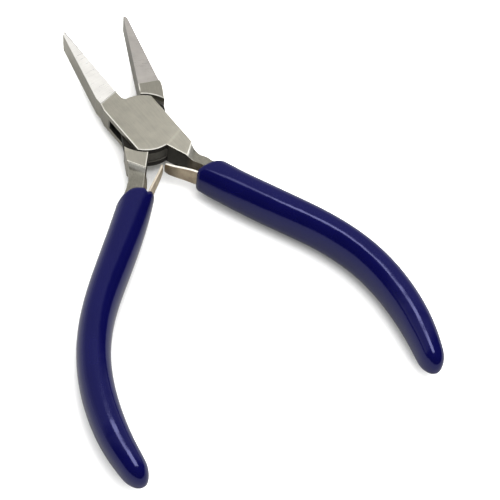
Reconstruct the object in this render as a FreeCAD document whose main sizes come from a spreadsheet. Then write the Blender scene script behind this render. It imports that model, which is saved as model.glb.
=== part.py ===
import FreeCAD, Part
import math
import os
import Sketcher

# Flat nose pliers with a box joint, two leaf springs and dipped vinyl grips.
# Millimetres. The origin is on the pivot axis at the underside of the joint, +Y
# runs to the jaw tips along the line halfway between the jaws, +Z is up through
# the joint. The pliers stand half open, as they do with no hand on them.
# Each half is drawn closed, about its own middle plane, with its jaw face near
# x = 0. It is then lifted by half the joint's thickness and turned by
# HalfOpening about the pivot axis: the box half one way, the lap half the other.
# Side is +1 for a handle on +X (box half) and -1 for one on -X (lap half). Each
# jaw is on the opposite side from its handle.

Vector = FreeCAD.Vector
UP = Vector(0, 0, 1)
doc = FreeCAD.newDocument("flat_nose_pliers")

# ------------------------------------------------------------------ dimensions
# An outline takes the sign of X and Y where it uses them.
DIMS = [
    ("HalfOpening", 13.2),      # degrees each half is turned from closed, at rest
    ("JointThick", 5.8),        # over both joint plates
    ("JawThick", 5.4),          # jaws are ground a little thinner than the joint
    ("WebThick", 2.6),          # centre web of the lap half
    ("SlotThick", 2.7),         # slot between the joint plates
    ("PlateR", 7.6),            # round ends of the joint plates
    ("SlotR", 7.65),            # end of the slot
    ("WebR", 7.55),             # round end of the web inside the slot
    ("ShoulderR", 8.0),         # shoulders of the lap half
    ("PlateHalf", 5.5),         # half width of the joint
    ("WebHalf", 5.3),           # half width of the web
    ("PinR", 2.5),
    ("PinHoleR", 2.54),         # running hole in the web
    # jaws
    ("JawFootY", 9.0),          # the foot is buried in the joint
    ("JawRoot", 11.3),          # where the straight taper of the jaw starts
    ("JawRootX", 5.0),
    ("JawTipY", 31.45),
    ("JawTipX", 0.80),
    ("JawTipOutY", 30.85),      # the end slants back to its outer corner
    ("JawFaceTip", 0.02),       # each jaw face stops this short of the middle at the tip
    ("JawFaceRoot", 0.3),       # and this short at the root
    ("TipChamfer", 0.2),
    # outline of the box half's plates
    ("BoxStepIn", 10.55),       # step between plate and jaw, inner and outer ends
    ("BoxStepOut", 9.45),
    ("BoxStepOutX", 5.05),
    ("NotchY", 8.45),           # notch beside the root of the jaw
    ("NotchFoot", 7.9),
    ("NotchFootX", 0.02),
    ("PlateEndX", 0.25),        # where the round end starts
    ("FlankTopY", 7.6),         # end of the straight side below the jaw
    ("BoxOutX", 5.45),          # line where the full thickness stops, outer end
    ("BoxOutY", 9.95),
    ("BoxInX", 2.35),           # and inner end
    ("BoxInY", 12.45),
    ("CrotchX", 0.35),
    ("LipR", 7.9),              # the lower plate stands a little proud at the crotch
    ("LipX", 4.9),
    ("LipInY", 4.0),
    # outlines of the lap half's shoulders
    ("LapStepIn", 10.9),        # step between shoulder and jaw, inner and outer ends
    ("LapStepOut", 11.35),
    ("LapStepOutX", 5.3),
    ("ShoulderX", 5.4),         # outer end of the round of each shoulder
    ("ShoulderSideX", 5.55),    # widest point of the jaw shoulder
    ("ShoulderSideY", 9.6),
    ("LapOutX", 5.40),          # line where the full thickness stops, outer end
    ("LapOutY", 9.80),
    ("LapInX", 1.72),           # and inner end
    ("LapInY", 12.15),
    ("LapCrotchX", 0.5),
    # ends of the web, buried in the two shoulders
    ("WebJawX", 0.32),
    ("WebJawY", 8.4),
    ("WebTangX", 0.52),
    ("WebTangInX", 1.0),
    ("WebTangY", 8.6),
    ("WebEndX", 5.2),           # outer corner at both ends
    ("EdgeBreak", 0.16),
    # tang, springs and rivets
    ("PartingHalf", 0.25),      # half height of the widest band of the tang
    ("SpringThick", 0.5),
    ("SpringWide", 4.5),
    ("SpringTipWide", 3.0),
    ("SpringTaperFrom", 6.5),   # length of the tapered end
    ("RivetR", 0.9),
    ("RivetHeadR", 1.5),
    ("RivetTopR", 0.8),         # flat top of the head
    ("RivetHeadHigh", 0.5),
    ("RivetRim", 0.45),         # upright part of the head, as a share of its height
    ("RivetDeep", 2.2),
    ("SeatHalf", 2.2),          # seat for the spring on the tang
    ("SeatShort", 0.4),         # the seat stops this short of the tail's end
    ("SeatDeep", 2.0),          # from the back of the leaf into the tang
    # straight tail of the leaf: rivet point, heading, length before and after it
    ("TailX", 6.35),
    ("TailY", 26.2),
    ("TailTurn", 64.4),
    ("TailBefore", 3.2),
    ("TailAfter", 3.2),
]

# Stations down the handle, drawn closed: name, x, -y, heading from +X in
# degrees clockwise, half width in plan, half height. The mouth, A, lies along
# the dip line, square to the tool and not to the handle.
GRIP = [
    ("A", 4.67, 18.10, 87.00, 3.93, 4.14),
    ("B", 6.04, 21.70, 66.40, 3.75, 4.45),
    ("C", 8.54, 27.45, 64.27, 3.75, 4.80),
    ("D", 11.98, 34.66, 64.48, 3.68, 5.02),
    ("E", 16.22, 44.13, 70.89, 3.50, 5.15),
    ("F", 18.72, 54.14, 83.45, 3.42, 5.15),
    ("G", 18.43, 66.04, 98.79, 3.32, 4.80),
    ("H", 16.26, 74.65, 109.73, 2.98, 4.10),
    ("I", 14.70, 78.60, 112.40, 2.66, 3.45),
    ("J", 13.76, 80.87, 112.81, 2.19, 2.69),
    ("K", 13.33, 81.87, 113.19, 1.31, 1.57),
    ("L", 13.19, 82.22, 113.22, 0.60, 0.70),
]
# Tang inside the grip: name, x, -y, heading, half width, half height, and how
# far the top stands back from the full width on the inner and on the outer side
CORE = [
    ("N", 7.35, 21.15, 66.5, 1.50, 2.30, 0.35, 0.35),
    ("P", 9.60, 26.95, 64.6, 1.60, 3.00, 0.35, 0.35),
    ("Q", 12.60, 34.35, 64.6, 1.85, 3.50, 0.35, 0.35),
    ("R", 16.36, 44.08, 70.85, 2.10, 3.75, 0.35, 0.35),
    ("S", 18.72, 54.14, 83.38, 2.15, 3.75, 0.35, 0.35),
    ("T", 18.43, 66.04, 98.49, 2.00, 3.40, 0.35, 0.35),
    ("U", 16.26, 74.65, 110.12, 1.60, 2.50, 0.35, 0.35),
]
# Neck between the joint and the grip, in the same columns. M also starts the core.
NECK = [
    ("BoxV", 3.743, 11.005, 51.1, 1.961, 2.90, 0.00, 0.00),
    ("BoxW", 3.801, 12.092, 50.9, 1.721, 2.26, 0.25, 0.15),
    ("BoxX", 3.951, 13.014, 58.9, 1.584, 1.93, 0.45, 0.30),
    ("BoxY", 4.455, 14.218, 68.2, 1.529, 1.85, 0.50, 0.35),
    ("BoxM", 5.308, 15.828, 68.8, 1.528, 1.80, 0.50, 0.40),
    ("LapV", 3.425, 10.764, 57.4, 2.153, 2.90, 0.00, 0.00),
    ("LapW", 3.492, 11.775, 59.8, 2.191, 2.26, 0.35, 0.25),
    ("LapX", 3.532, 12.890, 68.4, 2.069, 1.95, 0.55, 0.20),
    ("LapY", 3.814, 14.397, 71.0, 2.090, 1.87, 0.70, 0.20),
    ("LapM", 4.403, 16.080, 68.2, 2.132, 1.80, 0.60, 0.25),
]
# Leaf spring centre lines, drawn closed: name, x, -y, from the free end to the
# mouth, as on the +X side
LEAF = [
    ("BoxA", -2.16, 10.72), ("BoxB", -1.90, 11.38), ("BoxC", -1.30, 12.40),
    ("BoxD", 0.10, 14.25), ("BoxE", 1.93, 16.95),
    ("LapA", -2.16, 10.72), ("LapB", -1.90, 11.38), ("LapC", -1.38, 12.40),
    ("LapD", -0.30, 14.25), ("LapE", 1.32, 16.95),
]
# Corners of the leaf's free end: how far past the end, how far in from the tip width
LEAF_CORNER = [(0.6, 1.15), (0.0, 0.7), (-0.4, 0.25), (-0.9, 0.0)]

LEAF_STEPS = 22         # steps along the bend when its two faces are offset
TAPER_MARGIN = 1.0      # the taper cut reaches this far outside the leaf
TAPER_DEPTH = 14.0      # passes through the whole bend
LEAF_HOLE_DEPTH = 3.0   # passes through the leaf
PIN_EDGE_MARGIN = 0.2   # edges this near the pin hole stay sharp
NECK_FOOT_Y = -9.9      # edges beyond this, at the foot of the neck, stay sharp
FLAT_TOL = 1e-4

for prefix, columns, rows in (
    ("Grip", ("X", "Y", "Turn", "Half", "High"), GRIP),
    ("Tang", ("X", "Y", "Turn", "Half", "High", "In", "Out"), CORE + NECK),
    ("Leaf", ("X", "Y"), LEAF),
):
    for station, *numbers in rows:
        DIMS += [(prefix + station + column, number) for column, number in zip(columns, numbers)]
DIM = dict(DIMS)

sheet = doc.addObject("Spreadsheet::Sheet", "Dims")
sheet.Label = "Dims"
for row, (alias, number) in enumerate(DIMS, 1):
    sheet.set(f"A{row}", alias)
    sheet.set(f"B{row}", str(number))
    sheet.setAlias(f"B{row}", alias)
doc.recompute()


# ------------------------------------------------------------------ sketches
def signed(alias, side):
    """The alias, with a minus in front on the -X side."""
    return alias if side > 0 else "-" + alias


def value(size):
    """A size is a number, or an alias that may have a minus in front."""
    if not isinstance(size, str):
        return size
    return -DIM[size[1:]] if size[0] == "-" else DIM[size]


def formula(size):
    """The expression that binds a size, or None for a plain number."""
    if not isinstance(size, str):
        return None
    return "-Dims." + size[1:] if size[0] == "-" else "Dims." + size


def constrain(sk, kind, where, number, expression):
    index = sk.addConstraint(Sketcher.Constraint(kind, *where, float(number)))
    if expression:
        sk.setExpression(f"Constraints[{index}]", expression)


def upright(along):
    """Rotation of a sketch that stands on edge, its x along the given direction."""
    return FreeCAD.Rotation(along, UP, along.cross(UP), "XYZ")


def new_body(label):
    part = doc.addObject("PartDesign::Body", label)
    part.Label = label
    return part


def sketch(part, name, base=Vector(0, 0, 0), rotation=FreeCAD.Rotation()):
    """Sketch on the body's XY plane, moved by the offset."""
    sk = part.newObject("Sketcher::SketchObject", name)
    ground = [f for f in part.Origin.OriginFeatures if f.Name.startswith("XY_Plane")][0]
    sk.AttachmentSupport = (ground, [""])
    sk.MapMode = "FlatFace"
    sk.AttachmentOffset = FreeCAD.Placement(base, rotation)
    return sk


def polygon(sk, points):
    """Closed run of lines."""
    count = len(points)
    ids = [sk.addGeometry(Part.LineSegment(points[i], points[(i + 1) % count]), False)
           for i in range(count)]
    for i in range(count):
        sk.addConstraint(Sketcher.Constraint("Coincident", ids[i], 2, ids[(i + 1) % count], 1))
    return ids


def circle(sk, radius):
    ring = sk.addGeometry(Part.Circle(Vector(0, 0, 0), UP, DIM[radius]), False)
    sk.addConstraint(Sketcher.Constraint("Coincident", ring, 3, -1, 1))
    constrain(sk, "Radius", (ring,), DIM[radius], formula(radius))
    return sk


def arc_y(radius, x):
    """Height of a circle about the origin at x, both given as aliases."""
    return math.sqrt(DIM[radius] ** 2 - DIM[x] ** 2)


def outline(sk, points):
    """Closed outline of sizes. (x, y) runs straight on to the next point;
    (x, y, radius) follows a circle about the origin, clockwise."""
    count = len(points)
    is_arc = [len(point) == 3 for point in points]
    # a clockwise arc is stored from its far end, so it starts at its vertex 2
    start = [2 if arc else 1 for arc in is_arc]
    ids = []
    for i in range(count):
        here, there = [Vector(value(p[0]), value(p[1]), 0) for p in (points[i], points[(i + 1) % count])]
        if is_arc[i]:
            first = math.atan2(there.y, there.x)
            last = math.atan2(here.y, here.x)
            while last < first:
                last += 2 * math.pi
            full = Part.Circle(Vector(0, 0, 0), UP, value(points[i][2]))
            ids.append(sk.addGeometry(Part.ArcOfCircle(full, first, last), False))
        else:
            ids.append(sk.addGeometry(Part.LineSegment(here, there), False))
    for i in range(count):
        j = (i + 1) % count
        sk.addConstraint(
            Sketcher.Constraint("Coincident", ids[i], 3 - start[i], ids[j], start[j]))
    for i in range(count):
        if is_arc[i]:
            radius = points[i][2]
            sk.addConstraint(Sketcher.Constraint("Coincident", ids[i], 3, -1, 1))
            constrain(sk, "Radius", (ids[i],), value(radius), formula(radius))
    for i in range(count):
        where = (-1, 1, ids[i], start[i])
        x, y = points[i][:2]
        constrain(sk, "DistanceX", where, value(x), formula(x))
        # the circle already fixes the height of an arc's ends
        if not is_arc[i - 1] and not is_arc[i]:
            constrain(sk, "DistanceY", where, value(y), formula(y))
    return sk


# ------------------------------------------------------------------ features
def set_length(feature, length):
    """Length is a number or an expression."""
    if isinstance(length, str):
        feature.setExpression("Length", length)
    else:
        feature.Length = length


def pad(part, sk, name, length, symmetric=True):
    feature = part.newObject("PartDesign::Pad", name)
    feature.Profile = sk
    if symmetric:
        feature.SideType = "Symmetric"
    set_length(feature, length)
    doc.recompute()
    part.Tip = feature


def pocket(part, sk, name, length, symmetric=True, backwards=False):
    before = part.Shape.Volume
    feature = part.newObject("PartDesign::Pocket", name)
    feature.Profile = sk
    if symmetric:
        feature.SideType = "Symmetric"
    feature.Reversed = backwards
    set_length(feature, length)
    doc.recompute()
    if feature.Shape.Volume >= before - 1e-6:
        raise RuntimeError(name + " cut nothing")
    part.Tip = feature


def loft(part, name, sections):
    feature = part.newObject("PartDesign::AdditiveLoft", name)
    feature.Profile = sections[0]
    feature.Sections = sections[1:]
    feature.Ruled = False
    doc.recompute()
    part.Tip = feature


def bevel(part, name, size, wanted):
    """Chamfer every edge of the body that the test picks."""
    base = part.Tip
    edges = [f"Edge{i}" for i, edge in enumerate(base.Shape.Edges, 1) if wanted(edge)]
    feature = part.newObject("PartDesign::Chamfer", name)
    feature.Base = (base, edges)
    feature.Size = DIM[size]
    feature.setExpression("Size", formula(size))
    doc.recompute()
    part.Tip = feature


def turn(part, side):
    """Lift a piece from its middle plane and turn it from closed to its place at rest."""
    part.Placement = FreeCAD.Placement(
        Vector(0, 0, DIM["JointThick"] / 2), FreeCAD.Rotation(UP, side * DIM["HalfOpening"]))
    part.setExpression("Placement.Rotation.Angle", formula(signed("HalfOpening", side)))
    part.setExpression("Placement.Base.z", "Dims.JointThick / 2")


# ------------------------------------------------------------------ stations
def half_name(side):
    return "Box" if side > 0 else "Lap"


def station_sketch(part, name, station, side):
    """Sketch standing across the handle at a station. Its x points outwards on
    the +X handle and inwards on the other."""
    heading = math.radians(DIM[station + "Turn"])
    across = Vector(math.sin(heading), side * math.cos(heading), 0)
    base = Vector(side * DIM[station + "X"], -DIM[station + "Y"], 0)
    sk = sketch(part, name, base, upright(across))
    sk.setExpression("AttachmentOffset.Base.x", formula(signed(station + "X", side)))
    sk.setExpression("AttachmentOffset.Base.y", formula("-" + station + "Y"))
    return sk


def tang_section(part, name, station, side):
    """Section of the tang: widest in the middle and narrower at top and bottom
    by the draft."""
    sk = station_sketch(part, name, station, side)
    low, high = (station + end for end in (("In", "Out") if side > 0 else ("Out", "In")))
    half, top = station + "Half", station + "High"
    # sign of x, draft taken off the half width, sign of y, height
    corners = [
        (-1, low, -1, top), (1, high, -1, top),
        (1, None, -1, "PartingHalf"), (1, None, 1, "PartingHalf"),
        (1, high, 1, top), (-1, low, 1, top),
        (-1, None, 1, "PartingHalf"), (-1, None, -1, "PartingHalf"),
    ]
    points = [Vector(x_sign * (DIM[half] - (DIM[draft] if draft else 0)), y_sign * DIM[height], 0)
              for x_sign, draft, y_sign, height in corners]
    ids = polygon(sk, points)
    for line, point, (x_sign, draft, y_sign, height) in zip(ids, points, corners):
        width = f"Dims.{half} - Dims.{draft}" if draft else f"Dims.{half}"
        where = (-1, 1, line, 1)
        constrain(sk, "DistanceX", where, point.x, f"{x_sign} * ({width})")
        constrain(sk, "DistanceY", where, point.y, f"{y_sign} * Dims.{height}")
    return sk


def tail_frame(side):
    """Rivet point on the straight tail of the leaf, the heading down the handle
    and the way from the leaf to the tang."""
    heading = math.radians(DIM["TailTurn"])
    point = Vector(side * DIM["TailX"], -DIM["TailY"], 0)
    down = Vector(side * math.cos(heading), -math.sin(heading), 0)
    out = Vector(side * math.sin(heading), math.cos(heading), 0)
    return point, down, out


# ------------------------------------------------------------------ parts of a half
def add_handle(part, side):
    """Neck, tang and spring seat of a half, drawn closed."""
    half = half_name(side)
    loft(part, "Neck", [tang_section(part, "Neck" + station, "Tang" + half + station, side)
                        for station in "VWXYM"])
    loft(part, "Core", [tang_section(part, "Core" + station, "Tang" + station, side)
                        for station in (half + "M", *"NPQRSTU")])
    # seat for the leaf, from inside the tang to the flat back of the leaf
    point, down, out = tail_frame(side)
    back = point + out * (DIM["SpringThick"] / 2)
    reach = down * (DIM["TailAfter"] - DIM["SeatShort"])
    deep = out * DIM["SeatDeep"]
    seat = sketch(part, "SeatOutline")
    polygon(seat, [back - reach, back + reach, back + reach + deep, back - reach + deep])
    pad(part, seat, "Seat", "2 * Dims.SeatHalf")
    hole = circle(sketch(part, "RivetHoleOutline", back, upright(down)), "RivetR")
    # the sketch faces away from the tang on +X and into it on -X
    pocket(part, hole, "RivetHole", "Dims.RivetDeep", symmetric=False, backwards=side < 0)


def add_jaw(part, side):
    """Jaw on the given side of the middle, drawn closed."""
    face_root, face_tip, tip, root = (
        signed(alias, side) for alias in ("JawFaceRoot", "JawFaceTip", "JawTipX", "JawRootX"))
    sk = outline(sketch(part, "JawOutline"), [
        (face_root, "JawFootY"),
        (face_root, "JawRoot"),
        (face_tip, "JawTipY"),
        (tip, "JawTipOutY"),
        (root, "JawRoot"),
        (root, "JawFootY"),
    ])
    pad(part, sk, "Jaw", "Dims.JawThick")


def cut_pin_hole(part, radius):
    """Hole for the pin, cut with a millimetre to spare above and below."""
    sk = circle(sketch(part, "PinHoleOutline"), radius)
    pocket(part, sk, "PinHole", "Dims.JointThick + 2")


def on_flats(edge, thick):
    """True for a level edge on the top or bottom of a plate of this thickness."""
    box = edge.BoundBox
    return box.ZLength <= FLAT_TOL and abs(abs(box.ZMin) - DIM[thick] / 2) <= FLAT_TOL


def tip_edge(edge):
    return edge.BoundBox.YMin > DIM["JawTipOutY"] - 1e-3 and on_flats(edge, "JawThick")


def plate_edge(edge):
    if not on_flats(edge, "JointThick"):
        return False
    middle = edge.valueAt((edge.FirstParameter + edge.LastParameter) / 2)
    clear_of_pin = math.hypot(middle.x, middle.y) >= DIM["PinR"] + PIN_EDGE_MARGIN
    return clear_of_pin and middle.y > NECK_FOOT_Y


# ------------------------------------------------------------------ the two halves
def build_box_half():
    part = new_body("box_half")
    sk = outline(sketch(part, "BlockOutline"), [
        ("-JawFaceRoot", "BoxStepIn"),
        ("-JawFaceRoot", "NotchY"),
        ("-NotchFootX", "NotchFoot"),
        ("PlateEndX", arc_y("PlateR", "PlateEndX"), "PlateR"),
        ("PlateHalf", arc_y("PlateR", "PlateHalf")),
        ("BoxOutX", "-BoxOutY"),
        ("BoxInX", "-BoxInY"),
        ("CrotchX", -arc_y("PlateR", "CrotchX"), "PlateR"),
        ("-PlateHalf", -arc_y("PlateR", "PlateHalf")),
        ("-PlateHalf", "FlankTopY"),
        ("-BoxStepOutX", "BoxStepOut"),
    ])
    pad(part, sk, "Block", "Dims.JointThick")
    sk = sketch(part, "LipOutline", Vector(0, 0, -DIM["JointThick"] / 2))
    sk.setExpression("AttachmentOffset.Base.z", "-Dims.JointThick / 2")
    outline(sk, [
        ("CrotchX", -arc_y("LipR", "CrotchX"), "LipR"),
        ("-LipX", -arc_y("LipR", "LipX")),
        ("-LipX", "-LipInY"),
        ("CrotchX", "-LipInY"),
    ])
    pad(part, sk, "Lip", "(Dims.JointThick - Dims.SlotThick) / 2", symmetric=False)
    add_jaw(part, -1)
    add_handle(part, 1)
    pocket(part, circle(sketch(part, "SlotOutline"), "SlotR"), "Slot", "Dims.SlotThick")
    cut_pin_hole(part, "PinR")
    bevel(part, "TipBevel", "TipChamfer", tip_edge)
    bevel(part, "PlateBevel", "EdgeBreak", plate_edge)
    turn(part, 1)
    return part


def build_lap_half():
    part = new_body("lap_half")
    sk = outline(sketch(part, "ShoulderOutline"), [
        ("JawFaceRoot", arc_y("ShoulderR", "JawFaceRoot"), "ShoulderR"),
        ("ShoulderX", arc_y("ShoulderR", "ShoulderX")),
        ("ShoulderSideX", "ShoulderSideY"),
        ("LapStepOutX", "LapStepOut"),
        ("JawFaceRoot", "LapStepIn"),
    ])
    pad(part, sk, "JawShoulder", "Dims.JointThick")
    add_jaw(part, 1)
    sk = outline(sketch(part, "TangShoulderOutline"), [
        ("-LapCrotchX", -arc_y("ShoulderR", "LapCrotchX"), "ShoulderR"),
        ("-ShoulderX", -arc_y("ShoulderR", "ShoulderX")),
        ("-LapOutX", "-LapOutY"),
        ("-LapInX", "-LapInY"),
    ])
    pad(part, sk, "TangShoulder", "Dims.JointThick")
    add_handle(part, -1)
    # web through the slot: round where it turns inside the box half, carried on
    # into the two shoulders
    sk = outline(sketch(part, "WebOutline"), [
        ("-WebHalf", arc_y("WebR", "WebHalf"), "WebR"),
        ("WebJawX", arc_y("WebR", "WebJawX")),
        ("WebJawX", "WebJawY"),
        ("WebEndX", "WebJawY"),
        ("WebHalf", -arc_y("WebR", "WebHalf"), "WebR"),
        ("-WebTangX", -arc_y("WebR", "WebTangX")),
        ("-WebTangInX", "-WebTangY"),
        ("-WebEndX", "-WebTangY"),
    ])
    pad(part, sk, "Web", "Dims.WebThick")
    cut_pin_hole(part, "PinHoleR")
    bevel(part, "TipBevel", "TipChamfer", tip_edge)
    bevel(part, "ShoulderBevel", "EdgeBreak", plate_edge)
    turn(part, -1)
    return part


def build_pin():
    part = doc.addObject("Part::Cylinder", "pivot_pin")
    part.Label = "pivot_pin"
    part.setExpression("Radius", "Dims.PinR")
    part.setExpression("Height", "Dims.JointThick")
    return part


# ------------------------------------------------------------------ springs and rivets
def curve_through(points, final):
    """Curve that leaves along its first two points and ends in the final direction."""
    curve = Part.BSplineCurve()
    start = (points[1] - points[0]).normalize()
    curve.interpolate(points, InitialTangent=start, FinalTangent=final)
    return curve


def build_spring(label, side):
    part = new_body(label)
    point, down, out = tail_frame(side)
    half_thick = DIM["SpringThick"] / 2
    stations = ["Leaf" + half_name(side) + letter for letter in "ABCDE"]
    bend = [Vector(side * DIM[station + "X"], -DIM[station + "Y"], 0) for station in stations]
    centre = curve_through(bend + [point - down * DIM["TailBefore"]], down)
    tail_end = point + down * DIM["TailAfter"]
    # left and right are taken looking down the handle
    left, right = [], []
    for i in range(LEAF_STEPS + 1):
        span = centre.LastParameter - centre.FirstParameter
        place = centre.FirstParameter + span * i / LEAF_STEPS
        middle = centre.value(place)
        tangent = centre.tangent(place)[0]
        offset = Vector(-tangent.y, tangent.x, 0) * half_thick
        left.append(middle + offset)
        right.append(middle - offset)
    offset = out * (side * half_thick)
    sk = sketch(part, "LeafOutline")
    for edge in (
        curve_through(left, down),
        Part.LineSegment(left[-1], tail_end + offset),
        Part.LineSegment(tail_end + offset, tail_end - offset),
        Part.LineSegment(tail_end - offset, right[-1]),
        curve_through(right, down),
        Part.LineSegment(right[0], left[0]),
    ):
        sk.addGeometry(edge, False)
    pad(part, sk, "Leaf", "Dims.SpringWide")
    # narrower towards the free end, seen from the side
    away = (bend[0] - bend[3]).normalize()
    taper = sketch(part, "TaperOutline", bend[0], upright(away))
    wide, tip_wide = DIM["SpringWide"] / 2, DIM["SpringTipWide"] / 2
    run = DIM["SpringTaperFrom"]
    profile = [(past, tip_wide - inset) for past, inset in LEAF_CORNER] + [
        (-run, wide), (-run, wide + TAPER_MARGIN), (LEAF_CORNER[0][0], wide + TAPER_MARGIN)]
    for up in (1, -1):
        polygon(taper, [Vector(x, up * y, 0) for x, y in profile])
    pocket(part, taper, "Taper", TAPER_DEPTH)
    hole = circle(sketch(part, "RivetHoleOutline", point, upright(down)), "RivetR")
    pocket(part, hole, "RivetHole", LEAF_HOLE_DEPTH)
    turn(part, side)
    return part


def build_rivet(label, side):
    part = new_body(label)
    point, down, out = tail_frame(side)
    # sketch x along the rivet towards the tang, y across it
    sk = sketch(part, "RivetProfile", point, FreeCAD.Rotation(out, down * -side, UP, "XYZ"))
    under_head = -DIM["SpringThick"] / 2
    foot = DIM["SpringThick"] / 2 + DIM["RivetDeep"]
    top = under_head - DIM["RivetHeadHigh"]
    rim = under_head - DIM["RivetHeadHigh"] * DIM["RivetRim"]
    outline(sk, [
        (top, 0.0),
        (foot, 0.0),
        (foot, "RivetR"),
        (under_head, "RivetR"),
        (under_head, "RivetHeadR"),
        (rim, "RivetHeadR"),
        (top, "RivetTopR"),
    ])
    feature = part.newObject("PartDesign::Revolution", "Turned")
    feature.Profile = sk
    feature.ReferenceAxis = (sk, ["H_Axis"])
    feature.Angle = 360
    doc.recompute()
    part.Tip = feature
    turn(part, side)
    return part


# ------------------------------------------------------------------ grips
def build_grip(label, side, contents):
    """Dipped skin, less the pieces that lie inside it."""
    skin = new_body(label + "_skin")
    sections = []
    for station, *_ in GRIP:
        prefix = "Grip" + station
        sk = station_sketch(skin, prefix + "Section", prefix, side)
        top, flank = Vector(0, DIM[prefix + "High"], 0), Vector(DIM[prefix + "Half"], 0, 0)
        oval = sk.addGeometry(Part.Ellipse(top, flank, Vector(0, 0, 0)), False)
        sk.addConstraint(Sketcher.Constraint("Coincident", oval, 3, -1, 1))
        sections.append(sk)
    loft(skin, "Dip", sections)
    turn(skin, side)
    inside = doc.addObject("Part::MultiFuse", label + "_inside")
    inside.Shapes = contents
    cut = doc.addObject("Part::Cut", label)
    cut.Label = label
    cut.Base = skin
    cut.Tool = inside
    doc.recompute()
    return cut


# ------------------------------------------------------------------ build and write out
box_half = build_box_half()
lap_half = build_lap_half()
pivot_pin = build_pin()
spring_box = build_spring("spring_box", 1)
spring_lap = build_spring("spring_lap", -1)
rivet_box = build_rivet("rivet_box", 1)
rivet_lap = build_rivet("rivet_lap", -1)
grip_box = build_grip("grip_box", 1, [box_half, spring_box, rivet_box])
grip_lap = build_grip("grip_lap", -1, [lap_half, spring_lap, rivet_lap])
doc.recompute()

NODES = [box_half, lap_half, pivot_pin, spring_box, spring_lap, rivet_box, rivet_lap,
         grip_box, grip_lap]
faults = [f"{item.Name} {item.State}" for item in doc.Objects
          if "Invalid" in item.State or "Error" in item.State]
for node in NODES:
    if node.Shape.isNull() or not node.Shape.isValid():
        faults.append(node.Label + " shape")
    if len(node.Shape.Solids) != 1:
        faults.append(f"{node.Label} has {len(node.Shape.Solids)} solids")
if faults:
    raise RuntimeError("; ".join(faults))

os.makedirs("parts", exist_ok=True)
for node in NODES:
    node.Shape.exportStep("parts/" + node.Label + ".step")
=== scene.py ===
"""Pliers with a box joint half and a lap half, two leaf springs and dipped vinyl grips.

The tool lies flat with its pivot on the Z axis, the jaws towards +Y and the handles towards -Y.
Each half is drawn closed, in millimetres about the middle plane of the joint, with its handle on +X
and its jaw on -X. It is then turned open; the lap half is mirrored in X as well.
"""
import math
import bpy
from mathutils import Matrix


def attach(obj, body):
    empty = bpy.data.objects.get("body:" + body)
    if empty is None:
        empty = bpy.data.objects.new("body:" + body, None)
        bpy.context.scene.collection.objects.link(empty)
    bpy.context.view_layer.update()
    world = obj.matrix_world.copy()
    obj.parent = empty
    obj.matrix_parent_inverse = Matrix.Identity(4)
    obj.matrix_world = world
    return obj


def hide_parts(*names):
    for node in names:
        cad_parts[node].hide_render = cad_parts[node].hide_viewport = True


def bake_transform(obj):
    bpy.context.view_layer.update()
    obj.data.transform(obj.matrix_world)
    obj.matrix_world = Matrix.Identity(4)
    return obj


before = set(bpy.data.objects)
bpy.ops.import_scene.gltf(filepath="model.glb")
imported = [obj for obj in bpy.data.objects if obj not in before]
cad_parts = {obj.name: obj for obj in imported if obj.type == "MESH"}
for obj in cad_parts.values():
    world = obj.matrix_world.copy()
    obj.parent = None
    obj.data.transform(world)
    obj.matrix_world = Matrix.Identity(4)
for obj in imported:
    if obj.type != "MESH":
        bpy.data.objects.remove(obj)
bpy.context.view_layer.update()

from types import SimpleNamespace

import bmesh
import bpy
import numpy as np
from mathutils import Matrix, Vector

scene = bpy.context.scene

MM = 0.001
TO_MM = 1000.0
BOX, LAP = 1, -1                   # the two sides; the sign also mirrors X
OPEN = math.radians(13.2)          # each half is turned this far from closed, at rest
LIFT = 2.9                         # height of the joint's middle plane above its underside


# ---------------------------------------------------------------- curves and meshes
def spline(stations, points, at, start_slope=None, end_slope=None):
    """Cubic spline, with natural ends unless a slope is given; returns value and slope at `at`."""
    t, p, at = (np.asarray(v, float) for v in (stations, points, at))
    n = len(t)
    h = np.diff(t)
    system = np.zeros((n, n))
    right = np.zeros((n, p.shape[1]))
    for i in range(1, n - 1):
        system[i, i - 1:i + 2] = h[i - 1], 2 * (h[i - 1] + h[i]), h[i]
        right[i] = 6 * ((p[i + 1] - p[i]) / h[i] - (p[i] - p[i - 1]) / h[i - 1])
    system[0, 0] = system[-1, -1] = 1
    if start_slope is not None:
        system[0, :2] = 2 * h[0], h[0]
        right[0] = 6 * ((p[1] - p[0]) / h[0] - start_slope)
    if end_slope is not None:
        system[-1, -2:] = h[-1], 2 * h[-1]
        right[-1] = 6 * (end_slope - (p[-1] - p[-2]) / h[-1])
    bend = np.linalg.solve(system, right)       # second derivatives
    k = np.clip(np.searchsorted(t, at, side="right") - 1, 0, n - 2)
    u = (at - t[k])[:, None]
    span = h[k][:, None]
    linear = (p[k + 1] - p[k]) / span - span * (2 * bend[k] + bend[k + 1]) / 6
    cubic = (bend[k + 1] - bend[k]) / (6 * span)
    value = p[k] + linear * u + bend[k] / 2 * u ** 2 + cubic * u ** 3
    return value, linear + bend[k] * u + 3 * cubic * u ** 2


def distances(points):
    """Distance along a polyline at each of its points."""
    return np.r_[0, np.cumsum(np.linalg.norm(np.diff(points, axis=0), axis=1))]


def unit(vector):
    return vector / np.linalg.norm(vector)


def smoothstep(v):
    v = min(1.0, max(0.0, v))
    return v * v * (3 - 2 * v)


def place(points, side):
    """Points drawn closed, in mm, moved to their place at rest, in metres."""
    p = np.array(points, float)
    c, s = math.cos(OPEN), math.sin(OPEN)
    x, y = c * p[:, 0] - s * p[:, 1], s * p[:, 0] + c * p[:, 1]
    return np.column_stack([side * x, y, p[:, 2] + LIFT]) * MM


def tube_faces(rings, around):
    """Quads between consecutive rings of `around` points."""
    faces = []
    for k in range(rings - 1):
        for j in range(around):
            a, b = k * around + j, k * around + (j + 1) % around
            faces.append((a, b, b + around, a + around))
    return faces


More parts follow.
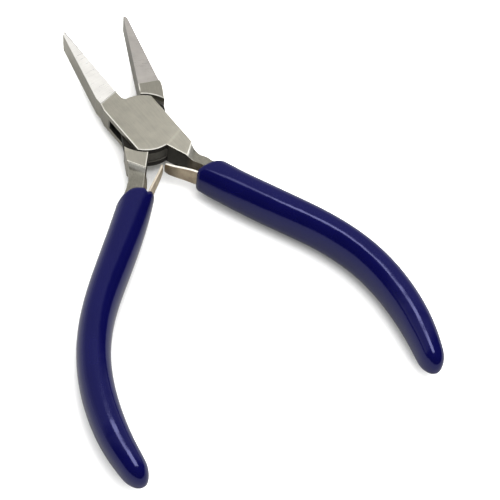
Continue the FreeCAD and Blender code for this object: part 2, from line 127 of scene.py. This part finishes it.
def build(name, points, faces, side, material):
    """A smooth mesh object from points drawn closed."""
    if side == LAP:
        faces = [tuple(reversed(face)) for face in faces]
    mesh = bpy.data.meshes.new(name)
    mesh.from_pydata([tuple(v) for v in place(points, side)], [], faces)
    mesh.update()
    obj = bpy.data.objects.new(name, mesh)
    scene.collection.objects.link(obj)
    bm = bmesh.new()
    bm.from_mesh(mesh)
    bmesh.ops.remove_doubles(bm, verts=bm.verts, dist=1e-7)
    bmesh.ops.recalc_face_normals(bm, faces=bm.faces)
    bm.to_mesh(mesh)
    bm.free()
    smooth(mesh)
    mesh.update()
    mesh.materials.append(material)
    return obj


def smooth(mesh):
    mesh.polygons.foreach_set("use_smooth", [True] * len(mesh.polygons))


# ---------------------------------------------------------------- node helpers
class Output:
    """A node's output; arithmetic on it adds Math nodes to its graph."""

    def __init__(self, graph, socket):
        self.graph = graph
        self.socket = socket

    def __add__(self, other):
        return self.graph.math("ADD", self, other)

    def __radd__(self, other):
        return self.graph.math("ADD", other, self)

    def __sub__(self, other):
        return self.graph.math("SUBTRACT", self, other)

    def __rsub__(self, other):
        return self.graph.math("SUBTRACT", other, self)

    def __mul__(self, other):
        return self.graph.math("MULTIPLY", self, other)

    def __abs__(self):
        return self.graph.math("ABSOLUTE", self)

    def sqrt(self):
        return self.graph.math("SQRT", self)

    def max(self, other):
        return self.graph.math("MAXIMUM", self, other)

    def ramp(self, start, end, low=0.0, high=1.0, shape="SMOOTHSTEP"):
        """`low` where the value is `start`, `high` where it is `end`, and level beyond them."""
        inputs = {"Value": self, "From Min": start, "From Max": end, "To Min": low, "To Max": high}
        return self.graph.add("ShaderNodeMapRange", inputs, "Result",
                              interpolation_type=shape, clamp=True)


class Graph:
    """Builds the nodes of a material or world from an empty tree."""

    def __init__(self, tree):
        self.tree = tree
        tree.nodes.clear()

    def put(self, socket, value):
        value = getattr(value, "socket", value)
        if isinstance(value, bpy.types.NodeSocket):
            self.tree.links.new(value, socket)
        else:
            socket.default_value = value

    def node(self, kind, inputs, **settings):
        node = self.tree.nodes.new(kind)
        for key, value in settings.items():
            setattr(node, key, value)
        for key, value in inputs.items():
            self.put(node.inputs[key], value)
        return node

    def add(self, kind, inputs={}, output=0, **settings):
        return Output(self, self.node(kind, inputs, **settings).outputs[output])

    def math(self, operation, a, b=0.0):
        return self.add("ShaderNodeMath", {0: a, 1: b, 2: 0.0}, operation=operation)

    def split(self, vector):
        """The x, y and z of a vector."""
        node = self.node("ShaderNodeSeparateXYZ", {0: vector})
        return [Output(self, socket) for socket in node.outputs]

    def coordinates(self):
        """Position in metres and normal, both in the object's frame."""
        node = self.node("ShaderNodeTexCoord", {})
        return [Output(self, node.outputs[key]) for key in ("Object", "Normal")]

    def mix(self, share, a, b):
        """Colour a, or b where the share is 1."""
        return self.add("ShaderNodeMix", {0: share, 6: a, 7: b}, 2, data_type="RGBA")

    def blend(self, share, a, b):
        """Number a, or b where the share is 1."""
        return self.add("ShaderNodeMix", {0: share, 2: a, 3: b}, data_type="FLOAT")

    def scaled(self, vector, factor):
        return self.add("ShaderNodeVectorMath", {0: vector, "Scale": factor}, operation="SCALE")

    def dim(self, colour, mask, by):
        """The colour darkened by the share `by` inside the mask."""
        return self.scaled(colour, 1.0 - mask * by)

    def noise(self, vector, scale, detail=2.0, rough=0.5):
        return self.add("ShaderNodeTexNoise", {"Vector": vector, "Scale": scale,
                                               "Detail": detail, "Roughness": rough})

    def stretched(self, vector, scale, turn=0.0):
        return self.add("ShaderNodeMapping",
                        {"Vector": vector, "Scale": scale, "Rotation": (0, 0, turn)})


class Material(Graph):
    def __init__(self, name):
        self.material = bpy.data.materials.new(name)
        self.material.use_nodes = True
        super().__init__(self.material.node_tree)
        self.end = self.node("ShaderNodeOutputMaterial", {})
        self.surface = self.node("ShaderNodeBsdfPrincipled", {})
        self.put(self.end.inputs[0], self.surface.outputs[0])

    def set(self, key, value):
        self.put(self.surface.inputs[key], value)

    def bump(self, height, distance, strength):
        self.set("Normal", self.add("ShaderNodeBump", {
            "Strength": strength, "Distance": distance, "Height": height}))


def srgb(*channels):
    """sRGB 0-255 to a linear colour."""
    def linear(c):
        c /= 255.0
        return c / 12.92 if c <= 0.04045 else ((c + 0.055) / 1.055) ** 2.4
    return (*map(linear, channels), 1.0)


# ---------------------------------------------------------------- forged steel
PLATE = srgb(233, 229, 214)
# jaw tops near white, most of all on the box side: partly their ground finish, partly a painted
# highlight
JAW_TOP = {BOX: srgb(250, 248, 243), LAP: srgb(244, 239, 233)}
# side faces painted darker than the plate: painted shade
WALL = srgb(176, 172, 159)
NECK = srgb(170, 167, 155)
# colour of the painted highlights on edges, lines and the step's rim
EDGE_HIGHLIGHT = srgb(250, 248, 238)
DARK = srgb(62, 60, 56)
BROWN = srgb(122, 112, 98)
WEB = srgb(120, 118, 111)

# Metallic share: the fine grinding scatters some light, more on some faces than on others; the low
# share on the edges and on the box side's jaw top also lets their pale colour show as a painted
# highlight
METAL_PLATE, METAL_EDGE, METAL_WALL, METAL_DARK = 0.95, 0.35, 0.97, 0.85
METAL_JAW = {BOX: 0.66, LAP: 0.93}

# y of the step behind the jaw, at x = 0 and at x = STEP_REACH either way
STEP = {BOX: (10.55, 9.45), LAP: (10.9, 11.35)}
STEP_REACH = 4.75
# Outer end of the line where the full thickness stops, and the foot of the angle where it ends
STOP_OUTER = {BOX: (5.45, -9.95), LAP: (5.40, -9.80)}
FOOT = {BOX: (2.35, -12.45), LAP: (1.72, -12.15)}
# Other end of the side of the angle, at the plate
ANGLE_TOP = {BOX: (0.35, -7.59), LAP: (0.50, -7.98)}
PLATE_CREASE = ((0.78, -7.67), (4.50, -6.26))      # between plate and handle, box side
DIP_SHADE = {BOX: 0.45, LAP: 0.58}                # painted shade in the dip at the neck: how much it darkens


def steel_zones(m, side):
    """Position and normal drawn closed, grain, and the masks the steel is coloured by."""
    def turned(vector):
        return m.add("ShaderNodeVectorRotate", {"Vector": vector, "Angle": -side * OPEN},
                     rotation_type="Z_AXIS")

    position, normal = m.coordinates()
    at = m.scaled(turned(position), TO_MM)
    x, y, z = m.split(at)
    x = x * float(side)                             # jaw on -x, handle on +x
    z = z - LIFT                                    # from the middle plane
    nx, ny, nz = m.split(turned(normal))
    nx = nx * float(side)
    up = abs(nz)
    flat = up.ramp(start=0.93, end=0.985)
    wall = up.ramp(start=0.45, end=0.2)
    edge = up.ramp(start=0.25, end=0.45) * up.ramp(start=0.97, end=0.9)
    height = abs(z)
    radius = (x * x + y * y).sqrt()

    # long fine strokes: along the tool on the faces, across it on the jaws
    along = m.noise(m.stretched(at, (7.0, 0.30, 7.0)), scale=1.0, detail=3.0, rough=0.6)
    across = m.noise(m.stretched(at, (0.18, 5.0, 5.0), turn=0.12), scale=1.0, detail=4.0, rough=0.65)

    step_middle, step_outer = STEP[side]
    step = abs(x) * ((step_outer - step_middle) / STEP_REACH) + step_middle
    jaw = (y - step).ramp(start=-0.02, end=0.05)
    jaw_top = jaw * flat
    # where the handle side drops below the joint's face
    neck = height.ramp(start=2.86, end=2.72) * y.ramp(start=-9.8, end=-10.2)
    return SimpleNamespace(at=at, x=x, y=y, nx=nx, ny=ny, up=up, flat=flat, wall=wall, edge=edge,
                           height=height, radius=radius, along=along, across=across,
                           step=step, jaw=jaw, jaw_top=jaw_top, neck=neck)


def from_line(zone, start, end):
    """Distance from the line through two points, positive on its left."""
    dx, dy = end[0] - start[0], end[1] - start[1]
    length = math.hypot(dx, dy)
    return (zone.x - start[0]) * (-dy / length) + (zone.y - start[1]) * (dx / length)


def edge_highlights(zone, side):
    """Painted highlight on the edges: those that face the grips and the outer end, and all of the
    jaws'.
    """
    facing = (zone.nx * 0.55 + zone.ny * 0.83) * -1.0
    highlighted = facing.ramp(start=0.0, end=0.35).max(zone.y.ramp(start=8.6, end=9.0))
    edge_highlight = zone.edge * highlighted
    if side == LAP:                                 # the painted highlight is faint on the inner edge of this tang
        faded = zone.y.ramp(start=-8.6, end=-9.6) * zone.nx.ramp(start=-0.05, end=-0.25)
        edge_highlight = edge_highlight * (1.0 - faded * 0.75)
    return edge_highlight


def colour_step(m, zone, side, colour):
    """The step behind the jaw."""
    if side == LAP:                                 # the shoulder is darker than the jaw
        shoulder = zone.y.ramp(start=5.6, end=6.0) * (1.0 - zone.jaw) * zone.flat
        return m.dim(colour, shoulder, by=0.20)
    past = zone.y - zone.step                       # painted shade in the step, and a painted highlight on the rim before it
    colour = m.dim(colour, zone.jaw_top * past.ramp(start=0.31, end=0.15), by=0.62)
    rim = zone.flat * abs(past + 0.20).ramp(start=0.20, end=0.06)
    return m.mix(rim * 0.45, colour, EDGE_HIGHLIGHT)


def highlight_lines(zone, side):
    """Painted highlight lines where the full thickness stops, and along the side of the angle of the
    joint.
    """
    stop = abs(from_line(zone, STOP_OUTER[side], FOOT[side]) - 0.08).ramp(start=0.24, end=0.12)
    stop = stop * zone.y.ramp(start=-8.5, end=-9.2)
    angle = abs(from_line(zone, ANGLE_TOP[side], FOOT[side])).ramp(start=0.26, end=0.16)
    angle = angle * zone.y.ramp(start=-7.3, end=-8.0)
    if side == LAP:                                 # fainter, most of all at the foot
        angle = angle * (0.75 - zone.y.ramp(start=-11.6, end=-12.4) * 0.50)
    return stop.max(angle * 0.8) * zone.up.ramp(start=0.5, end=0.7)


def colour_shoulder(m, zone, side, colour):
    """The handle side of the plate."""
    if side == BOX:                                 # soft pale line between plate and handle
        crease = abs(from_line(zone, *PLATE_CREASE)).ramp(start=0.55, end=0.0) * zone.flat
        return m.scaled(colour, 1.0 + crease * 0.14)
    lower = zone.y.ramp(start=-7.0, end=-7.6) * zone.up.ramp(start=0.3, end=0.6)
    return m.dim(colour, lower, by=0.14)


def joint_oxide_and_shade(m, zone):
    """Mask and colour of the dark oxide in the joint, and of the painted shade on the walls under
    the plates' arcs and on the inner faces of the tangs.
    """
    height, radius, y = zone.height, zone.radius, zone.y
    inside = height.ramp(start=1.42, end=1.37) * radius.ramp(start=8.2, end=7.7)
    # painted shade on the walls under the plates' arcs and on the tangs' inner faces
    under = zone.wall * y.ramp(start=-4.6, end=-5.6) * radius.ramp(start=8.3, end=8.1)
    inner = zone.wall * zone.nx.ramp(start=-0.35, end=-0.75) * y.ramp(start=-7.4, end=-8.0)
    mask = inside.max(under.max(inner * 0.88))
    # darkest in the angle of the joint, browner towards the grip, paler on the web
    shade = m.mix(y.ramp(start=-12.2, end=-14.2), DARK, BROWN)
    web = height.ramp(start=1.5, end=1.3) * radius.ramp(start=7.0, end=7.4)
    web = web * radius.ramp(start=8.1, end=7.8)
    return mask, m.mix(web, shade, WEB)


def colour_tip(m, zone, side, colour):
    if side == LAP:                                 # painted shade: walls darker towards the tip
        return m.dim(colour, zone.wall * zone.y.ramp(start=10.0, end=24.0), by=0.38)
    # thin dark line along the inner edge near the tip
    rim = zone.jaw_top * zone.x.ramp(start=-0.30, end=-0.20) * zone.y.ramp(start=22.0, end=26.0)
    return m.dim(colour, rim, by=0.6)


def steel(name, side):
    """Ground and satin polished forging."""
    m = Material(name)
    zone = steel_zones(m, side)
    jaw, jaw_top, neck = zone.jaw, zone.jaw_top, zone.neck
    edge_highlight = edge_highlights(zone, side)
    line = highlight_lines(zone, side)
    oxide_and_shade, oxide_and_shade_colour = joint_oxide_and_shade(m, zone)

    # jaw tops: partly a painted highlight
    colour = m.mix(jaw_top, PLATE, JAW_TOP[side])
    # painted shade on the side faces
    colour = m.mix(zone.wall, colour, WALL)
    colour = m.mix(neck, colour, NECK)
    colour = colour_step(m, zone, side, colour)
    # painted highlight on the edges
    colour = m.mix(edge_highlight * 0.9, colour, EDGE_HIGHLIGHT)
    colour = colour_shoulder(m, zone, side, colour)
    # painted highlight lines
    colour = m.mix(line * 0.85, colour, EDGE_HIGHLIGHT)
    # painted shade on the slope just below where the full thickness stops
    dip = neck * zone.height.ramp(start=2.70, end=2.58) * zone.height.ramp(start=1.98, end=2.12)
    colour = m.dim(colour, dip, by=DIP_SHADE[side])
    colour = m.mix(oxide_and_shade, colour, oxide_and_shade_colour)
    colour = colour_tip(m, zone, side, colour)

    # brightness: soft blotches, a slow drift off the jaw, the strokes, and coarse grain on the neck
    blotch = m.noise(zone.at, scale=0.35, detail=3.0, rough=0.55)
    stroke = m.blend(jaw, zone.along, zone.across)
    coarse = m.noise(m.stretched(zone.at, (5.0, 1.6, 5.0), turn=0.5),
                     scale=1.0, detail=4.0, rough=0.7)
    tone = (blotch - 0.5) * 0.30 + 1.0
    tone = tone + (zone.x * 0.010 + zone.y * -0.006) * (1.0 - jaw)
    tone = tone + (stroke - 0.5) * m.blend(jaw, 0.30, 0.20)
    tone = tone + (coarse - 0.5) * 1.1 * neck
    m.set("Base Color", m.scaled(colour, tone))

    metal = m.blend(jaw_top, METAL_PLATE, METAL_JAW[side])
    metal = m.blend(edge_highlight.max(line * 0.8), metal, METAL_EDGE)
    metal = m.blend(zone.wall, metal, METAL_WALL)
    m.set("Metallic", m.blend(oxide_and_shade, metal, METAL_DARK))

    # the jaw tops are the smoothest, the neck and the oxide and shaded faces the roughest
    rough = stroke * 0.16 + 0.26
    rough = m.blend(jaw_top, rough, stroke * 0.16 + 0.22)
    rough = m.blend(neck, rough, 0.48)
    m.set("Roughness", m.blend(oxide_and_shade, rough, 0.6))

    # relief: strokes and fine grain, coarse on the neck and shallow on the jaw tops
    fine = m.noise(zone.at, scale=14.0, rough=0.6)
    relief = stroke * 1.0 + fine * 0.25
    relief = relief + coarse * 4.0 * neck
    relief = m.blend(jaw_top, relief, relief * 0.3)
    m.bump(relief, distance=0.012 * MM, strength=0.6)
    return m.material


# ---------------------------------------------------------------- spring steel and vinyl
SPRING_A, SPRING_B = srgb(186, 168, 144), srgb(206, 190, 164)
VINYL_A, VINYL_B = srgb(5, 5, 54), srgb(9, 9, 63)


def spring_steel(name, gain, metal, edge_light_colour, grain, shaded):
    """Straw-coloured spring; grain is the swing in brightness, shaded paints shade on it near the
    joint.
    """
    m = Material(name)
    position, normal = m.coordinates()
    at = m.scaled(position, TO_MM)
    blotch = m.noise(at, scale=0.6, detail=3.0, rough=0.6)
    fine = m.noise(m.stretched(at, (3.0, 3.0, 0.8)), scale=2.0, detail=3.0, rough=0.6)
    rim = abs(m.split(normal)[2]).ramp(start=0.35, end=0.8)
    colour = m.mix(blotch.ramp(start=0.38, end=0.62), SPRING_A, SPRING_B)
    colour = m.scaled(colour, gain)
    if shaded:                                      # painted shade where the leaf runs up under the joint
        colour = m.dim(colour, m.split(at)[0].ramp(start=3.4, end=0.8), by=0.5)
    # painted light on the leaf's long edges
    colour = m.mix(rim * 0.9, colour, edge_light_colour)
    m.set("Base Color", m.scaled(colour, fine * grain + (1.0 - grain / 2)))
    m.set("Metallic", m.blend(rim, metal, 0.4))
    m.set("Roughness", fine * 0.2 + 0.28)
    m.bump(fine, distance=0.01 * MM, strength=0.5)
    return m.material


def vinyl(name):
    """Dipped vinyl: deep blue, wet gloss, with the faint waves and specks of a dip coat."""
    m = Material(name)
    at = m.scaled(m.coordinates()[0], TO_MM)
    wave = m.noise(at, scale=0.16)
    ripple = m.noise(at, scale=0.9)
    speck = m.noise(at, scale=9.0)
    m.set("Base Color", m.mix(wave, VINYL_A, VINYL_B))
    m.set("IOR", 1.5)
    m.set("Specular Tint", (0.85, 0.88, 1.6, 1.0))
    m.set("Roughness", speck * 0.05 + 0.11)
    relief = wave * 1.0 + ripple * 0.10
    m.bump(relief + speck * 0.004, distance=0.25 * MM, strength=0.35)
    return m.material


STEEL = {side: steel(name, side) for side, name in ((BOX, "steel_box"), (LAP, "steel_lap"))}
# the two leaves are the same steel: the lap side's is a paler lit copy, and the box side's edges
# carry a painted highlight
SPRING = {
    BOX: spring_steel("spring_steel", gain=1.10, metal=0.93, edge_light_colour=srgb(252, 248, 236),
                      grain=0.35, shaded=True),
    LAP: spring_steel("spring_steel_lit", gain=1.35, metal=0.80, edge_light_colour=srgb(196, 188, 172),
                      grain=1.0, shaded=False),
}
VINYL = vinyl("vinyl")

for node, material in (
        ("box_half", STEEL[BOX]), ("pivot_pin", STEEL[BOX]), ("lap_half", STEEL[LAP]),
        ("rivet_box", SPRING[BOX]), ("rivet_lap", SPRING[BOX])):
    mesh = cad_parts[node].data
    mesh.materials.clear()
    mesh.materials.append(material)
    smooth(mesh)
    mesh.set_sharp_from_angle(angle=math.radians(25))


# ---------------------------------------------------------------- grips
# Stations from the mouth to the end: x, y, half width in plan, half height
GRIP = np.array([
    (4.21, -16.94, 3.72, 4.05), (6.04, -21.70, 3.75, 4.45), (8.54, -27.45, 3.75, 4.80),
    (11.98, -34.66, 3.68, 5.02), (16.22, -44.13, 3.50, 5.15), (18.72, -54.14, 3.42, 5.15),
    (18.43, -66.04, 3.32, 4.85), (16.26, -74.65, 2.98, 4.25), (14.70, -78.60, 2.66, 3.60),
    (13.62, -81.20, 2.40, 3.00), (13.15, -82.30, 2.28, 2.72),
])
GRIP_AT = distances(GRIP[:, :2])
GRIP_LENGTH = GRIP_AT[-1]
CAP, LIP = 4.2, 0.75               # length of the rounded end; radius of the lip at the mouth
MAIN_RINGS, CAP_RINGS, LIP_RINGS, AROUND = 150, 16, 7, 72
MOUTH_FADE = 7.0                   # length over which the shape of the mouth dies out
# Dip line, set back by: a constant, a slant across, a curve outside, a curve inside
MOUTH = {BOX: (0.20, 1.60, 0.90, 6.00), LAP: (0.55, 1.00, 2.80, 1.20)}
ROUND_POWER = 2.25                 # superellipse power of the section
SQUARER = {BOX: 0.40, LAP: 0.20}   # added to the power at the mouth
# Nick in the lap side's dip line where the leaf runs out
NICK_ANGLE, NICK_SPREAD, NICK_DEPTH = math.radians(128.0), math.radians(11.0), 0.75
# How much fuller the upper side is than the lower: at the mouth, at the end
FULLER = {BOX: (0.055, 0.19), LAP: (0.0, 0.19)}


def fullness(side, along):
    """Height of the upper side over that of the lower."""
    share = along / GRIP_LENGTH
    at_mouth, at_end = FULLER[side]
    return 1 + at_mouth * smoothstep(1 - share / 0.36) + at_end * smoothstep((share - 0.84) / 0.16)


def grip_ring(side, centre, heading, half_width, half_height, push, top):
    """One ring. push is how fully it takes the shape of the mouth, top the fullness above."""
    angle = np.linspace(0, 2 * math.pi, AROUND, endpoint=False)
    cos, sin = np.cos(angle), np.sin(angle)
    power = 2 / (ROUND_POWER + SQUARER[side] * push)
    offset = np.sign(cos) * np.abs(cos) ** power * half_width
    z = np.sign(sin) * np.abs(sin) ** power * np.where(sin > 0, top, 1.0) * half_height
    heading = unit(heading)
    outward = np.array([-heading[1], heading[0]])
    # the dip line lies nearly square to the tool, and falls away round the outside
    across = offset / GRIP[0, 2]
    base, slant, outside, inside = MOUTH[side]
    back = (base + slant * across + outside * np.maximum(0, across) ** 2
            + inside * np.maximum(0, -across - 0.5) ** 2) * push
    if side == LAP:
        back += NICK_DEPTH * np.exp(-((angle - NICK_ANGLE) / NICK_SPREAD) ** 2) * push ** 12
    return np.column_stack([centre + np.outer(offset, outward) + np.outer(back, heading), z])


def lip_rings(side):
    """The rounded lip, from the face of the mouth outwards."""
    value, slope = spline(GRIP_AT, GRIP, [0.0])
    x, y, half_width, half_height = value[0]
    heading = unit(slope[0][:2])
    rings = []
    for i in range(LIP_RINGS):
        turn = i / LIP_RINGS * math.pi / 2
        centre = np.array([x, y]) + heading * LIP * (1 - math.cos(turn))
        inset = LIP * (1 - math.sin(turn))
        rings.append(grip_ring(side, centre, heading, half_width - inset, half_height - inset,
                               push=1.0, top=fullness(side, 0.0)))
    return rings


def body_rings(side):
    """The grip from the lip to just short of its tip, and the tip point."""
    cap_start = GRIP_LENGTH - CAP
    stations = np.r_[np.linspace(LIP, cap_start, MAIN_RINGS),
                     [cap_start + CAP * math.sin(math.pi / 2 * i / CAP_RINGS)
                      for i in range(1, CAP_RINGS + 1)]]
    value, slope = spline(GRIP_AT, GRIP, stations)
    rings = []
    for u, (x, y, half_width, half_height), heading in zip(stations[:-1], value, slope[:, :2]):
        q = max(0.0, (u - cap_start) / CAP)
        shrink = math.sqrt(1 - q ** 2.2)
        # the top stays level longer, and rounds off faster
        top = fullness(side, u) * math.sqrt((1 - q ** 4.5) / (1 - q ** 2.2))
        rings.append(grip_ring(side, np.array([x, y]), heading, half_width * shrink,
                               half_height * shrink, smoothstep(1 - (u - LIP) / MOUTH_FADE), top))
    return rings, (*value[-1][:2], 0.0)


def grip(name, body, node, side):
    rings, tip_point = body_rings(side)
    rings = lip_rings(side) + rings
    points = [point for ring in rings for point in ring]
    faces = tube_faces(len(rings), AROUND)
    tip = len(points)
    points.append(tip_point)
    last = tip - AROUND
    faces += [(last + j, last + (j + 1) % AROUND, tip) for j in range(AROUND)]
    # face of the mouth: two more rings, then a centre inside the tang
    centre = rings[0].mean(0)
    outer = len(points)
    inner = outer + AROUND
    hub = inner + AROUND
    for size in (0.75, 0.45):
        points.extend(centre + (rings[0] - centre) * size)
    points.append(centre)
    for j in range(AROUND):
        k = (j + 1) % AROUND
        faces.append((k, j, outer + j, outer + k))
        faces.append((outer + k, outer + j, inner + j, inner + k))
        faces.append((inner + k, inner + j, hub))
    obj = build(name, points, faces, side, VINYL)
    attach(obj, body)
    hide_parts(node)
    return obj


box_grip = grip("vinyl_grip_box", "box_side", "grip_box", BOX)
grip("vinyl_grip_lap", "lap_side", "grip_lap", LAP)

# ---------------------------------------------------------------- leaf springs
# Centre line in plan, from the free end to the mouth of the grip: x, y
LEAF_TIP = [(-2.16, -10.72), (-1.90, -11.38)]
LEAF = {
    BOX: LEAF_TIP + [(-1.30, -12.40), (0.10, -14.25), (1.93, -16.95)],
    LAP: LEAF_TIP + [(-1.38, -12.40), (-0.30, -14.25), (1.32, -16.95)],
}
# Straight tail inside the grip: middle, heading below +X, half length
TAIL_MIDDLE, TAIL_TURN, TAIL_HALF = np.array([6.35, -26.2]), math.radians(64.4), 3.2
LEAF_HALF_WIDTH, LEAF_END_HALF_WIDTH = 2.25, 1.50
LEAF_TAPER = 6.5                   # length over which the leaf widens
LEAF_HALF_THICK, LEAF_EDGE = 0.25, 0.09             # edge radius
END_ROUND, END_INSET = 1.1, 0.35   # rounded free end: its length, narrowing at the very end


def leaf_section(along):
    """Rounded rectangle across the leaf: offset in plan, height."""
    half = LEAF_END_HALF_WIDTH
    half += (LEAF_HALF_WIDTH - LEAF_END_HALF_WIDTH) * min(1.0, along / LEAF_TAPER) ** 0.8
    if along < END_ROUND:
        short = (END_ROUND - along) / END_ROUND
        half -= END_INSET * (1 - math.sqrt(max(0.0, 1 - short ** 2)))
    section = []
    for quarter, (sx, sz) in enumerate(((1, 1), (-1, 1), (-1, -1), (1, -1))):
        for k in range(4):
            a = math.radians(90 * quarter + 30 * k)
            section.append((sx * (LEAF_HALF_THICK - LEAF_EDGE) + LEAF_EDGE * math.cos(a),
                            sz * (half - LEAF_EDGE) + LEAF_EDGE * math.sin(a)))
    return section


def leaf(name, node, side):
    heading = np.array([math.cos(-TAIL_TURN), math.sin(-TAIL_TURN)])
    tail_start = TAIL_MIDDLE - heading * TAIL_HALF
    tail_end = TAIL_MIDDLE + heading * TAIL_HALF
    way = np.array(LEAF[side] + [tuple(tail_start)])
    way_at = distances(way)
    stations = np.r_[0, 0.04, 0.12, 0.24, 0.4, 0.6, 0.85, np.linspace(1.1, way_at[-1], 66)]
    line, slopes = spline(way_at, way, stations, unit(way[1] - way[0]), heading)
    line = [*line] + [tail_start + (tail_end - tail_start) * k for k in (0.25, 0.5, 0.75, 1.0)]
    slopes = [*slopes] + [heading] * 4
    points = []
    for (x, y), slope, along in zip(line, slopes, distances(line)):
        dx, dy = unit(slope)
        section = leaf_section(along)
        points += [(x - dy * offset, y + dx * offset, z) for offset, z in section]
    around = len(section)
    faces = tube_faces(len(line), around)
    faces.append(tuple(reversed(range(around))))
    faces.append(tuple(range(len(points) - around, len(points))))
    obj = build(name, points, faces, side, SPRING[side])
    obj.data.set_sharp_from_angle(angle=math.radians(60))
    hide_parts(node)
    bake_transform(obj)


leaf("leaf_spring_box", "spring_box", BOX)
leaf("leaf_spring_lap", "spring_lap", LAP)

# ---------------------------------------------------------------- table
FLOOR_Z = (LIFT - 5.2) * MM        # just below the grips
FLOOR_HALF = 1.5                   # metres


def floor_material():
    m = Material("floor")
    grain = m.noise(m.coordinates()[0], scale=900.0)
    m.set("Roughness", 0.9)
    m.set("Specular IOR Level", 0.1)
    # the view sees the lit table brighter than the pliers do, and darker close to them: a painted
    # shadow from ambient occlusion
    camera_ray = m.add("ShaderNodeLightPath", output="Is Camera Ray")
    openness = m.add("ShaderNodeAmbientOcclusion", {"Distance": 0.007}, "AO", samples=8)
    seen = m.blend(openness.ramp(start=0.25, end=0.92, shape="LINEAR"), 0.60, 1.60)
    gain = m.blend(camera_ray, 0.36, seen)
    tint = m.mix(grain, (0.985, 0.985, 0.975, 1), (1, 1, 0.99, 1))
    m.set("Base Color", m.scaled(tint, gain))
    # clear from below, so the underside of the pliers can be looked at
    clear = m.add("ShaderNodeBsdfTransparent")
    below = m.add("ShaderNodeNewGeometry", output="Backfacing") * camera_ray
    surface = m.add("ShaderNodeMixShader", {0: below, 1: m.surface.outputs[0], 2: clear})
    m.put(m.end.inputs[0], surface)
    return m.material


def floor():
    w = FLOOR_HALF
    mesh = bpy.data.meshes.new("floor")
    corners = [(x, y, FLOOR_Z) for x, y in ((-w, -w), (w, -w), (w, w), (-w, w))]
    mesh.from_pydata(corners, [], [(0, 1, 2, 3)])
    obj = bpy.data.objects.new("floor", mesh)
    scene.collection.objects.link(obj)
    mesh.materials.append(floor_material())


floor()


# ---------------------------------------------------------------- lights
def area(name, location, aim, size, power):
    light = bpy.data.lights.new(name, "AREA")
    light.shape = "RECTANGLE"
    light.size, light.size_y = size
    light.energy = power
    obj = bpy.data.objects.new(name, light)
    scene.collection.objects.link(obj)
    obj.location = location
    obj.rotation_euler = (Vector(aim) - Vector(location)).to_track_quat("-Z", "Y").to_euler()
    return obj


# A big soft box up beyond the jaws and to +X lights the table and throws soft shadows towards
# -X and -Y. It is kept out of the mirror-like faces, which see the room instead.
key = area("key", location=(0.40, 0.42, 0.80), aim=(0, -0.03, 0), size=(0.55, 0.55), power=5.0)
key.visible_glossy = False
# a compact lamp over the handles: the thin streak down each grip
area("lamp", location=(0.016, -0.045, 0.215), aim=(0.016, -0.045, 0), size=(0.090, 0.088),
     power=0.125)
# a fainter one beyond it, for the start of the streak on the box side's grip only
faint = area("lamp_faint", location=(-0.024, 0.025, 0.215), aim=(-0.024, 0.025, 0),
             size=(0.050, 0.050), power=0.016)
only = bpy.data.collections.new("right_grip_only")
only.objects.link(box_grip)
faint.light_linking.receiver_collection = only

# ---------------------------------------------------------------- room
ROOM_LOW, ROOM_HIGH = 0.50, 0.34   # brightness the shiny faces see, low down and higher up
EVEN = 1.35                        # brightness of the even light on everything else


def room():
    """Pale beyond the jaws, brightest low down for the far rim of each grip; dark on -Y."""
    world = bpy.data.worlds.new("world")
    scene.world = world
    world.use_nodes = True
    g = Graph(world.node_tree)
    _, y, up = g.split(g.add("ShaderNodeTexCoord", output="Generated"))
    far = y.ramp(start=0.13, end=0.32)
    level = up.ramp(start=0.12, end=0.40, low=ROOM_LOW, high=ROOM_HIGH)
    strength = g.add("ShaderNodeMath", {0: far, 1: level}, operation="MULTIPLY")
    mirrored = g.add("ShaderNodeBackground",
                     {"Strength": strength, "Color": (1.0, 0.985, 0.955, 1)})
    even = g.add("ShaderNodeBackground", {"Color": (1, 1, 1, 1), "Strength": EVEN})
    glossy_ray = g.add("ShaderNodeLightPath", output="Is Glossy Ray")
    surface = g.add("ShaderNodeMixShader", {0: glossy_ray, 1: even, 2: mirrored})
    g.node("ShaderNodeOutputWorld", {0: surface})


room()

# ---------------------------------------------------------------- camera
# Drawing frame to view frame (x right, y down, z ahead): rotation, then shift in mm
VIEW_TURN = np.array([
    [0.9034, -0.41746, 0.09794],
    [-0.30636, -0.7882, -0.53374],
    [0.30001, 0.45218, -0.83996],
])
VIEW_SHIFT = np.array([-23.281, -26.456, 286.376])


def camera():
    data = bpy.data.cameras.new("camera")
    data.sensor_width = 36.0
    data.sensor_fit = "HORIZONTAL"
    data.lens = 93.6
    data.clip_start = 0.01
    data.clip_end = 20.0
    obj = bpy.data.objects.new("camera", data)
    scene.collection.objects.link(obj)
    eye = (-VIEW_TURN.T @ VIEW_SHIFT + np.array([0.0, 0.0, LIFT])) * MM
    # a camera looks along its -Z with +Y up
    turn = Matrix((VIEW_TURN.T @ np.diag([1.0, -1.0, -1.0])).tolist()).to_quaternion()
    turn.normalize()
    obj.matrix_world = Matrix.Translation(Vector(eye)) @ turn.to_matrix().to_4x4()
    scene.camera = obj


camera()
scene.view_settings.view_transform = "Standard"
scene.view_settings.look = "None"
scene.view_settings.exposure = 0.0
scene.view_settings.gamma = 1.0
